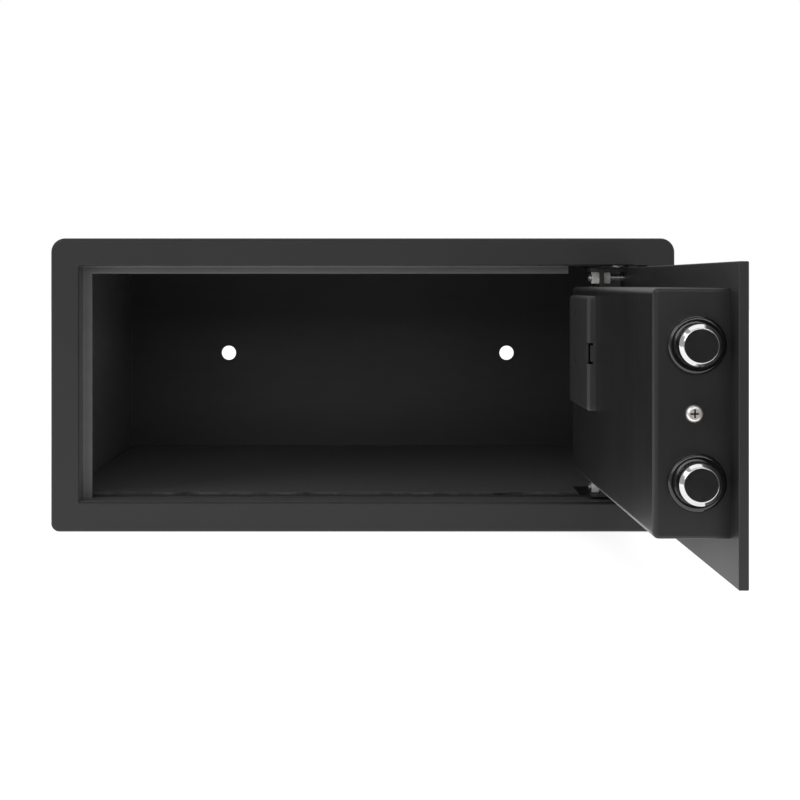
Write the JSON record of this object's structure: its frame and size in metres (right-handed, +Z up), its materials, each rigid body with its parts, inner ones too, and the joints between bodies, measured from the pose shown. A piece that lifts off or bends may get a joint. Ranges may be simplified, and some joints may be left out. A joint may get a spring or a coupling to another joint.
{
  "type": "wall safe",
  "caption": "Low, wide electronic safe with its door standing open: round locking bolts, motor drive, keypad panel, key override, battery bay and a felt floor.",
  "frame": {"origin": "middle of the underside of the body", "axes": "+X to the right of someone facing the front, +Y from the front into the safe, +Z up"},
  "size_m": [0.425, 0.7495, 0.2],
  "materials": {
    "body_paint": "satin powder coat",
    "door_paint": "satin powder coat",
    "case_paint": "satin powder coat",
    "felt": "needle felt",
    "zinc": "bright zinc plate",
    "screw_steel": "nickel plate",
    "plug_brass": "turned",
    "bolt_chrome": "polished chamfer",
    "collar_plastic": "gloss",
    "cover_plastic": "fine spark texture",
    "panel_plastic": "fine spark texture",
    "key_plastic": "satin",
    "window_tint": "tinted",
    "display_plastic": "moulded",
    "board_green": "solder mask",
    "silicone": "matte",
    "cell_jacket": "printed sleeve",
    "motor_steel": "drawn can",
    "gear_plastic": "acetal",
    "reset_plastic": "gloss",
    "wire": "sleeve"
  },
  "bodies": {
    "safe_body": {"body_wrap": "body_paint", "rear_panel": "body_paint", "front_frame": "body_paint", "floor_tray": "body_paint", "floor_mat": "felt", "hinge_bush_top": "zinc", "hinge_bush_bottom": "zinc"},
    "door": {"door_plate": "door_paint", "lock_case": "case_paint", "case_feet": "case_paint", "guide_plate": "case_paint", "hinge_arm_top": "zinc", "hinge_arm_bottom": "zinc", "hinge_pin_top": "zinc", "hinge_pin_bottom": "zinc", "hinge_studs": "zinc", "hinge_nuts": "zinc", "battery_contacts": "zinc", "case_screws": "screw_steel", "panel_screws": "screw_steel", "flap_rivet": "screw_steel", "lock_barrel": "bolt_chrome", "bolt_collars": "collar_plastic", "battery_tray": "cover_plastic", "keypad_housing": "panel_plastic", "display_window": "window_tint", "display_module": "display_plastic", "board_parts": "display_plastic", "bolt_switch": "display_plastic", "circuit_board": "board_green", "keypad_board": "board_green", "key_mat": "silicone", "battery_cells": "cell_jacket", "motor": "motor_steel", "gearbox": "gear_plastic", "cable_loom": "wire"},
    "bolts": {"bolt_upper": "bolt_chrome", "bolt_lower": "bolt_chrome", "bolt_yoke": "zinc"},
    "pinion": {"drive_pinion": "gear_plastic"},
    "battery_lid": {"battery_cover": "cover_plastic"},
    "reset": {"reset_button": "reset_plastic"},
    "plug": {"lock_plug": "plug_brass", "lock_cam": "bolt_chrome"},
    "flap": {"lock_flap": "bolt_chrome"},
    "key_1": {"key_1": "key_plastic"},
    "key_2": {"key_2": "key_plastic"},
    "key_3": {"key_3": "key_plastic"},
    "key_4": {"key_4": "key_plastic"},
    "key_5": {"key_5": "key_plastic"},
    "key_6": {"key_6": "key_plastic"},
    "key_7": {"key_7": "key_plastic"},
    "key_8": {"key_8": "key_plastic"},
    "key_9": {"key_9": "key_plastic"},
    "key_clear": {"key_clear": "key_plastic"},
    "key_0": {"key_0": "key_plastic"},
    "key_enter": {"key_enter": "key_plastic"}
  },
  "joints": [
    {"name": "door_hinge", "type": "hinge", "parent": "safe_body", "child": "door", "pos_m": [0.1771, -0.1805, 0.101], "axis": [0, 0, 1], "range_deg": [-90, 15]},
    {"name": "bolt_throw", "type": "slide", "parent": "door", "child": "bolts", "axis": [0, -1, 0], "range_m": [0, 0.017]},
    {"name": "pinion_turn", "type": "hinge", "parent": "door", "child": "pinion", "pos_m": [0.1635, -0.4505, 0.1055], "axis": [-1, 0, 0], "range_deg": [-5, 130]},
    {"name": "battery_lid_off", "type": "slide", "parent": "door", "child": "battery_lid", "axis": [-1, 0, 0], "range_m": [0, 0.03]},
    {"name": "reset_press", "type": "slide", "parent": "door", "child": "reset", "axis": [1, 0, 0], "range_m": [0, 0.001], "stiffness_N_per_m": 400, "springref_m": -0.001},
    {"name": "override_turn", "type": "hinge", "parent": "door", "child": "plug", "pos_m": [0.1971, -0.40515, 0.082], "axis": [1, 0, 0], "range_deg": [0, 90]},
    {"name": "flap_swing", "type": "hinge", "parent": "door", "child": "flap", "pos_m": [0.1971, -0.40515, 0.0985], "axis": [1, 0, 0], "range_deg": [0, 100]},
    {"name": "key_1_press", "type": "slide", "parent": "door", "child": "key_1", "axis": [-1, 0, 0], "range_m": [0, 0.001], "stiffness_N_per_m": 500, "springref_m": -0.001},
    {"name": "key_2_press", "type": "slide", "parent": "door", "child": "key_2", "axis": [-1, 0, 0], "range_m": [0, 0.001], "stiffness_N_per_m": 500, "springref_m": -0.001},
    {"name": "key_3_press", "type": "slide", "parent": "door", "child": "key_3", "axis": [-1, 0, 0], "range_m": [0, 0.001], "stiffness_N_per_m": 500, "springref_m": -0.001},
    {"name": "key_4_press", "type": "slide", "parent": "door", "child": "key_4", "axis": [-1, 0, 0], "range_m": [0, 0.001], "stiffness_N_per_m": 500, "springref_m": -0.001},
    {"name": "key_5_press", "type": "slide", "parent": "door", "child": "key_5", "axis": [-1, 0, 0], "range_m": [0, 0.001], "stiffness_N_per_m": 500, "springref_m": -0.001},
    {"name": "key_6_press", "type": "slide", "parent": "door", "child": "key_6", "axis": [-1, 0, 0], "range_m": [0, 0.001], "stiffness_N_per_m": 500, "springref_m": -0.001},
    {"name": "key_7_press", "type": "slide", "parent": "door", "child": "key_7", "axis": [-1, 0, 0], "range_m": [0, 0.001], "stiffness_N_per_m": 500, "springref_m": -0.001},
    {"name": "key_8_press", "type": "slide", "parent": "door", "child": "key_8", "axis": [-1, 0, 0], "range_m": [0, 0.001], "stiffness_N_per_m": 500, "springref_m": -0.001},
    {"name": "key_9_press", "type": "slide", "parent": "door", "child": "key_9", "axis": [-1, 0, 0], "range_m": [0, 0.001], "stiffness_N_per_m": 500, "springref_m": -0.001},
    {"name": "key_clear_press", "type": "slide", "parent": "door", "child": "key_clear", "axis": [-1, 0, 0], "range_m": [0, 0.001], "stiffness_N_per_m": 500, "springref_m": -0.001},
    {"name": "key_0_press", "type": "slide", "parent": "door", "child": "key_0", "axis": [-1, 0, 0], "range_m": [0, 0.001], "stiffness_N_per_m": 500, "springref_m": -0.001},
    {"name": "key_enter_press", "type": "slide", "parent": "door", "child": "key_enter", "axis": [-1, 0, 0], "range_m": [0, 0.001], "stiffness_N_per_m": 500, "springref_m": -0.001}
  ],
  "couplings": [
    {"joint": "pinion_turn", "follows": "bolt_throw", "rad_per_m": 125}
  ]
}
